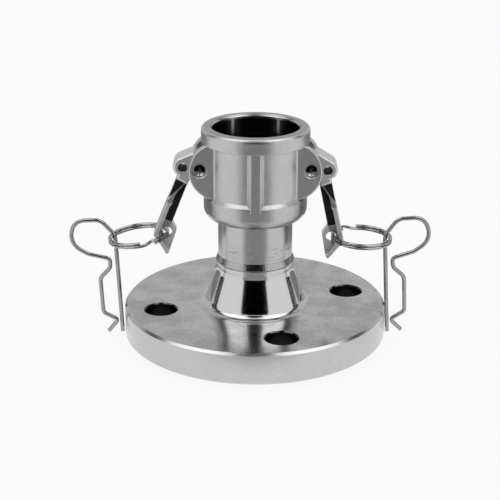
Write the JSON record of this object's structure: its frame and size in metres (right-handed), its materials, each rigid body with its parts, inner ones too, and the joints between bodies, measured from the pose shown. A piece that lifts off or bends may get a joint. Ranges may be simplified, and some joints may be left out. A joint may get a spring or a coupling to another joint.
{
  "type": "cam and groove coupler",
  "caption": "Female cam and groove coupler with two cam arms, split rings and safety clips, welded to a round weld-neck pipe flange.",
  "frame": {"origin": "centre of the flange's sealing face, on the flow bore's axis", "axes": "+Z along the flow bore, out of the coupler's mouth; the two cam arms lie on X and their pivot pins run along Y"},
  "size_m": [0.1579, 0.115, 0.0962],
  "materials": {
    "machined_steel": "machined",
    "weld_metal": "brushed weld",
    "drawn_steel": "polished",
    "cast_steel": "investment cast, bead blasted",
    "gasket_rubber": "moulded",
    "pin_steel": "turned",
    "arm_steel": "investment cast",
    "ring_steel": "bright wire",
    "wire_steel": "bright wire"
  },
  "bodies": {
    "coupler": {"coupler_body": "cast_steel", "mouth_gasket": "gasket_rubber", "neck_pipe": "drawn_steel", "neck_weld": "weld_metal", "weld_neck_flange": "machined_steel", "pivot_pin_left": "pin_steel", "pivot_pin_right": "pin_steel"},
    "arm_left": {"cam_arm_left": "arm_steel"},
    "ring_left": {"split_ring_left": "ring_steel"},
    "clip_left": {"safety_clip_left": "wire_steel"},
    "arm_right": {"cam_arm_right": "arm_steel"},
    "ring_right": {"split_ring_right": "ring_steel"},
    "clip_right": {"safety_clip_right": "wire_steel"}
  },
  "joints": [
    {"name": "arm_pivot_left", "type": "hinge", "parent": "coupler", "child": "arm_left", "pos_m": [-0.0236, 0, 0.0793], "axis": [0, 1, 0], "range_deg": [0, 70]},
    {"name": "ring_swing_left", "type": "hinge", "parent": "arm_left", "child": "ring_left", "pos_m": [-0.03816, 0, 0.04786], "axis": [0, 1, 0], "range_deg": [0, 50]},
    {"name": "clip_swing_left", "type": "hinge", "parent": "ring_left", "child": "clip_left", "pos_m": [-0.06345, 0, 0.0446], "axis": [0, 1, 0], "range_deg": [0, 60]},
    {"name": "arm_pivot_right", "type": "hinge", "parent": "coupler", "child": "arm_right", "pos_m": [0.0236, 0, 0.0793], "axis": [0, -1, 0], "range_deg": [0, 79]},
    {"name": "ring_swing_right", "type": "hinge", "parent": "arm_right", "child": "ring_right", "pos_m": [0.03365, 0, 0.04647], "axis": [0, -1, 0], "range_deg": [0, 50]},
    {"name": "clip_swing_right", "type": "hinge", "parent": "ring_right", "child": "clip_right", "pos_m": [0.05911, 0, 0.0452], "axis": [0, -1, 0], "range_deg": [0, 60]}
  ]
}
